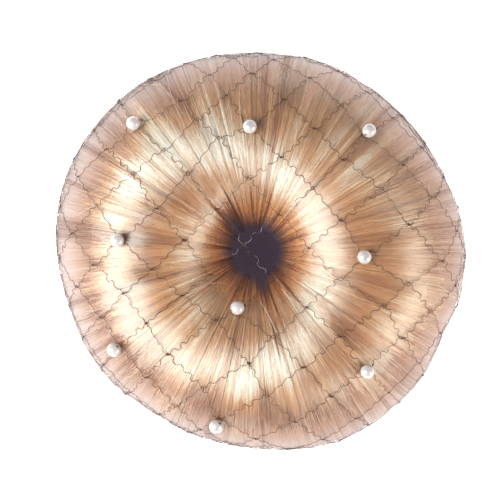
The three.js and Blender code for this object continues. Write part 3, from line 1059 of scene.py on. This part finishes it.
# Net
def thread_path(start, end):
    """Flat points of a crimped thread from knot to knot, and how far each is lifted."""
    fewest_steps, squareness, knot_fade, rise = 10, 4.0, 1.2, 0.1
    sizes, pitches, drift, drift_lengths = (0.4, 1.25), (0.85, 1.2), 0.5, (6, 11)
    usual, swell, swell_length = 0.8, 0.35, 7.3
    way = end - start
    length = np.hypot(*way)
    side = np.array([-way[1], way[0]]) / length
    run = np.linspace(0, length, max(fewest_steps, int(length / THREAD_STEP)))
    size = CRIMP_SIZE * RANDOM.uniform(*sizes)
    pitch = CRIMP_LENGTH * RANDOM.uniform(*pitches)
    phase = RANDOM.uniform(0, TURN)
    uneven = drift * np.sin(TURN * run / RANDOM.uniform(*drift_lengths) + RANDOM.uniform(0, TURN))
    crimp = np.tanh(squareness * np.sin(TURN * run / pitch + phase + uneven))
    crimp = crimp * (usual + swell * np.sin(TURN * run / swell_length + 2 * phase))
    fade = np.clip(np.minimum(run, length - run) / knot_fade, 0, 1)
    flat = start + (run / length)[:, None] * way + (size * crimp * fade)[:, None] * side
    return flat, rise * np.sin(math.pi * run / pitch + phase) * fade


def net_threads(materials):
    batch = Batch()
    sides = 3
    for start, end in THREADS:
        flat, lift = thread_path(start, end)
        over_well = np.hypot(*flat[1:].T) < WELL_RADIUS
        tube = thread_tube(*over_net(flat, THREAD_DROP + lift), THREAD_RADIUS, sides)
        # Threads over the well take the second material, whose pale bits paint glints
        batch.add(*tube, finish=np.repeat(over_well, sides))
    return batch.piece("net_threads", materials, ["net_mesh"], "thread")


def overhand(turn, wide, high, deep):
    """Line of a tied knot, with three lobes."""
    lobes = 1 + 0.5 * np.cos(3 * turn)
    x = wide * lobes * np.cos(2 * turn)
    y = high * lobes * np.sin(2 * turn)
    return np.stack([x, y, deep * np.sin(3 * turn)], 1)


def knot_tail(middle, east, north, normal):
    """Loose end of thread at a knot."""
    steps, rise, curl, lengths = 7, 0.25, 1.2, (0.8, 1.8)
    step = np.linspace(0, 1, steps)[:, None]
    turned = RANDOM.uniform(0, TURN) + RANDOM.normal(0, curl) * step
    reach = RANDOM.uniform(*lengths)
    tail = middle + reach * step * (np.cos(turned) * east + np.sin(turned) * north)
    return thread_tube(tail + rise * np.sin(math.pi * step) * normal, normal, TAIL_RADIUS)


def net_knots(materials):
    """Ties at the crossings: most are drawn out sideways, some stand open as a small ring."""
    batch = Batch()
    steps, sides, lift, spin, tilt_spread, most_tails = 26, 4, 0.1, 0.2, 0.25, 1
    tie_margin, lobe_reach, tie_depth, tie_heights = 0.15, 1.5, 0.15, (0.14, 0.26)
    ring_widths, ring_heights, ring_depth = (0.35, 0.55), (0.35, 0.6), 0.1
    turn = around(steps)
    for key, flat in KNOTS.items():
        normal = net_normals(flat)
        east = unit(net_points(flat + 0.5 * KNOT_WAY) - net_points(flat - 0.5 * KNOT_WAY))
        north = np.cross(normal, east)
        if RANDOM.random() < RING_KNOTS:
            wide, high = RANDOM.uniform(*ring_widths), RANDOM.uniform(*ring_heights)
            shape = np.stack([wide * np.cos(turn), high * np.sin(turn), ring_depth * np.sin(2 * turn)], 1)
        else:
            wide, high = (KNOT_WIDTHS[key] + tie_margin) / lobe_reach, RANDOM.uniform(*tie_heights)
            shape = overhand(turn, wide, high, tie_depth)
        tilt = RANDOM.normal(0, tilt_spread)
        east, north = (
            math.cos(tilt) * east + math.sin(tilt) * north,
            math.cos(tilt) * north - math.sin(tilt) * east,
        )
        middle = net_points(flat) + (THREAD_DROP + lift) * normal
        path = middle + shape @ np.stack([east, north, normal])
        batch.add(*loop_tube(path, normal + spin * unit(path - middle), THREAD_RADIUS, sides))
        for _ in range(RANDOM.integers(0, most_tails + 1)):
            batch.add(*knot_tail(middle, east, north, normal))
    return batch.piece("net_knots", materials, ["net_mesh"], "thread")


def closed_walk(size):
    """Random walk of a gather that ends where it began."""
    walk = np.cumsum(RANDOM.normal(0, size, GATHER_STEPS))
    return walk - np.linspace(walk[0], walk[-1], GATHER_STEPS)


def net_gathers(materials):
    """Slack thread that lies in small loops round the widest part, where the net is drawn in."""
    batch = Batch()
    above, spread, spans = 3.0, 2.2, (4, 16)
    wander_size, wander_step, loop_size, loop_step = 0.9, 0.5, 0.5, 2.0
    for _ in range(GATHERS):
        middle = RANDOM.uniform(0, TURN)
        span = math.radians(RANDOM.uniform(*spans))
        wander = wander_size * closed_walk(wander_step)
        run = NET_WIDEST_RUN + RANDOM.normal(-above, spread) + wander
        loops = loop_size * span / GATHER_STEPS * closed_walk(loop_step)
        angle = middle + span * np.linspace(-0.5, 0.5, GATHER_STEPS) + loops
        batch.add(*thread_tube(*over_net(run[:, None] * heading(angle), THREAD_DROP), GATHER_RADIUS))
    return batch.piece("net_gathers", materials, ["net_mesh"], "thread")


def net_edge(materials):
    """Bound edge of the net: two threads that twist round each other."""
    batch = Batch()
    steps, sides, twists = 900, 5, 150
    radius, twist_radius, drop = 0.15, 0.13, 0.1
    angle = around(steps)
    for offset in (0, math.pi):
        twist = twists * angle + offset
        flat = (NET_EDGE + twist_radius * np.cos(twist))[:, None] * heading(angle)
        path, normals = over_net(flat, -drop + twist_radius * np.sin(twist))
        batch.add(*loop_tube(path, normals, radius, sides))
    return batch.piece("net_edge", materials, ["net_mesh"], "thread")


def elastic_cord(materials):
    """Covered elastic: a round cord whose wrapping makes slanting ribs."""
    steps, sides = 720, 10
    rib_depth, rib_starts, rib_turns = 0.05, 3, 180
    radius = ELASTIC_DIAMETER / 2
    angle = around(steps)
    flat = (NET_EDGE + THREAD_WIDTH / 2 + ELASTIC_GAP + radius) * heading(angle)
    path, normals = over_net(flat, radius - THREAD_THICKNESS / 2)
    ribs = 1 - rib_depth * (1 + np.cos(rib_starts * around(sides) + rib_turns * angle[:, None]))
    points, quads, _, _ = loop_tube(path, normals, radius * ribs[..., None], sides)
    return Batch().add(points, quads).piece("elastic_cord", materials, ["elastic_edge"], "elastic")


# Pearls
def pearl_frames():
    """Centre, hole direction and outward direction of each pearl, lower than its solid, on the hair."""
    down = np.array([0, 0, -1])
    frames = []
    for number, (across, along, _, _) in enumerate(PEARL_KNOTS, 1):
        low, high = (np.array(corner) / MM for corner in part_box(f"pearl_{number}"))
        flat = flat_knot(across, along)
        normal = net_normals(flat)
        way = net_points(flat_knot(across, along + 1)) - net_points(flat)
        way = unit(way - (way @ normal) * normal)
        frames.append(((low + high) / 2 + PEARL_SINK / normal[2] * down, way, normal))
    return frames


def pearl_bead(number, centre, way, normal, materials):
    """Ball with a drilled hole."""
    rings, sides = 22, 40
    radius, hole = PEARL_DIAMETER / 2, PEARL_HOLE / 2
    lip_in, lip_down = 0.9 * hole, 0.93 * radius
    rim = math.asin(hole / radius)
    angle = np.linspace(rim, math.pi - rim, rings)
    outside = np.stack([radius * np.sin(angle), -radius * np.cos(angle)], 1)
    outline = np.concatenate([outside, [[lip_in, lip_down], [lip_in, -lip_down]]])
    turn = around(sides)[:, None]
    spokes = np.cos(turn) * normal + np.sin(turn) * np.cross(way, normal)
    points = centre + outline[None, :, :1] * spokes[:, None] + outline[None, :, 1:] * way
    ball = Batch().add(points, wrapped_quads(sides, len(outline))[:, [0, 3, 2, 1]])
    return ball.piece(f"pearl_bead_{number}", materials, [f"pearl_{number}"], "pearl")


def pearl_ties(frames, materials):
    """Thread through each pearl, with the knot that stops it at one end of the hole."""
    batch = Batch()
    sides, knot_steps, thread_steps = 5, 30, 15
    beyond, sag_depth, sag_power = 1.3, 1.8, 1.5
    knot_size, knot_out, knot_drop, spin = 0.22, 0.45, 0.7, 0.2
    radius = PEARL_DIAMETER / 2
    run = (radius + beyond) * np.linspace(-1, 1, thread_steps)
    sag = sag_depth * (np.maximum(np.abs(run) - radius, 0) / beyond) ** sag_power
    shape = knot_size * overhand(around(knot_steps), wide=1, high=1, deep=0.6)
    for centre, way, normal in frames:
        path = centre + run[:, None] * way - sag[:, None] * normal
        batch.add(*thread_tube(path, normal, THREAD_RADIUS, sides))
        middle = centre - (radius + knot_out) * way - knot_drop * normal
        knot = middle + shape @ np.stack([np.cross(way, normal), normal, way])
        batch.add(*loop_tube(knot, way + spin * unit(knot - middle), THREAD_RADIUS, sides))
    return batch.piece("pearl_ties", materials, ["net_mesh"], "thread")


# Backing
def backing_disc(materials):
    """Cloth disc with a rolled rim."""
    sides, steps, inmost = 160, 14, 0.4
    rim = BASE_THICKNESS / 2
    roll = np.radians(np.linspace(-90, 90, 9))
    flat = np.linspace(inmost, BASE_RADIUS - rim, steps)
    outline = np.concatenate([
        np.stack([flat, np.zeros(steps)], 1)[:-1],
        np.stack([BASE_RADIUS - rim + rim * np.cos(roll), rim + rim * np.sin(roll)], 1),
        np.stack([flat[::-1], np.full(steps, BASE_THICKNESS)], 1)[1:],
    ])
    xy = outline[None, :, :1] * heading(around(sides))[:, None] + CENTRE
    height = np.broadcast_to(outline[:, 1:], (sides, len(outline), 1))
    index = np.arange(sides * len(outline)).reshape(sides, -1)
    after = np.roll(index, -1, 0)
    quads = np.stack([index[:, :-1], after[:, :-1], after[:, 1:], index[:, 1:]], -1)
    disc = Batch().add(np.concatenate([xy, height], -1), quads, caps(index[:, 0], index[:, -1]))
    return disc.piece("backing_disc", materials, ["bun_base"], "backing")


# Studio
def pale_floor():
    size = 3.0
    corners = [(-size, -size, 0), (size, -size, 0), (size, size, 0), (-size, size, 0)]
    mesh = bpy.data.meshes.new("floor")
    mesh.from_pydata(corners, [], [(0, 1, 2, 3)])
    material, tree, shader = new_material("floor_white", roughness=0.9, specular=0.1)
    wire(tree, shader, {
        "Base Color": (0.93, 0.93, 0.93, 1),
        "Emission Color": (1, 1, 1, 1),
        "Emission Strength": 0.8,
    })
    mesh.materials.append(material)
    floor = new_object("floor", mesh)


def soft_light(name, azimuth, elevation, distance, size, power, colour=(1, 1, 1)):
    """Large lamp that looks at the bun from a direction in degrees."""
    data = bpy.data.lights.new(name, "AREA")
    data.shape = "RECTANGLE"
    data.size, data.size_y = size
    data.energy = power
    data.color = colour
    light = new_object(name, data)
    a, e = math.radians(azimuth), math.radians(elevation)
    way = np.array([math.cos(e) * math.cos(a), math.cos(e) * math.sin(a), math.sin(e)])
    aim = np.array([0, 0, 0.02])
    light.location = distance * way + aim
    light.rotation_euler = (math.pi / 2 - e, 0, a + math.pi / 2)


def studio_world():
    """Soft light from all round, warmest at the horizon."""
    world = bpy.data.worlds.new("studio")
    world.use_nodes = True
    tree = world.node_tree
    way = add_node(tree, "TexCoord", {}, "Generated")
    sky = ramp_node(tree, add_node(tree, "SeparateXYZ", {"Vector": way}, "Z"), SKY_SHADES)
    wire(tree, tree.nodes["Background"], {"Color": sky, "Strength": 1.0})
    bpy.context.scene.world = world


def overhead_camera():
    """Looks straight down, with the bun where the photo shows it."""
    photo_pixels, pearl_pixels = 500, 14
    frame_width = photo_pixels * PEARL_DIAMETER / pearl_pixels
    bun_aside = 2.74
    distance = 2000.0
    data = bpy.data.cameras.new("camera")
    data.sensor_width = 36.0
    data.lens = data.sensor_width * distance / frame_width
    data.clip_end = 20.0
    camera = new_object("camera", data)
    camera.location = ((CENTRE[0] - bun_aside) * MM, CENTRE[1] * MM, (distance + EQUATOR_HEIGHT) * MM)
    bpy.context.scene.camera = camera


overhead_camera()
studio_world()
pale_floor()
soft_light("key", azimuth=200, elevation=38, distance=0.7, size=(0.5, 0.7), power=8.8)
soft_light(
    "far_fill", azimuth=-30, elevation=20, distance=0.8,
    size=(0.5, 0.35), power=4.4, colour=(1.0, 0.87, 0.77),
)
bpy.context.scene.view_settings.view_transform = "Standard"

rim = dull_material("hair_rim", RIM_TONES, RIM_SHADES, RIM_GLOW)
root = dull_material("hair_root", ROOT_TONES, ROOT_SHADES, ROOT_GLOW)
hair = hair_material("hair_strand", HAIR_TONES, roughness=0.58)
packed = hair_material("hair_packed", CORE_TONES, roughness=0.6)
thread = thread_material("net_thread", (0.06, 0.026, 0.018), (0.14, 0.07, 0.05))
# Thread over the well, with pale bits that paint its glints
painted_glint_thread = thread_material(
    "net_thread_painted_glint", (0.04, 0.034, 0.038), (0.38, 0.35, 0.35), dark_end=0.46, light_end=0.58,
)
elastic = thread_material("elastic_cover", (0.025, 0.014, 0.011), (0.06, 0.036, 0.028))
pearl = pearl_material()

lie = HairLie()
core = hair_core(lie, [packed, rim, root])
for part in range(1, STRAND_PIECES + 1):
    strand_piece(f"hair_strands_{part}", lie, [hair, rim, root])
stray_hairs([hair])
net_threads([thread, painted_glint_thread])
net_knots([thread])
net_gathers([thread])
net_edge([thread])
elastic_cord([elastic])
pearl_places = pearl_frames()
for number, bead in enumerate(pearl_places, 1):
    pearl_bead(number, *bead, [pearl])
pearl_ties(pearl_places, [thread])
disc = backing_disc([backing_material()])
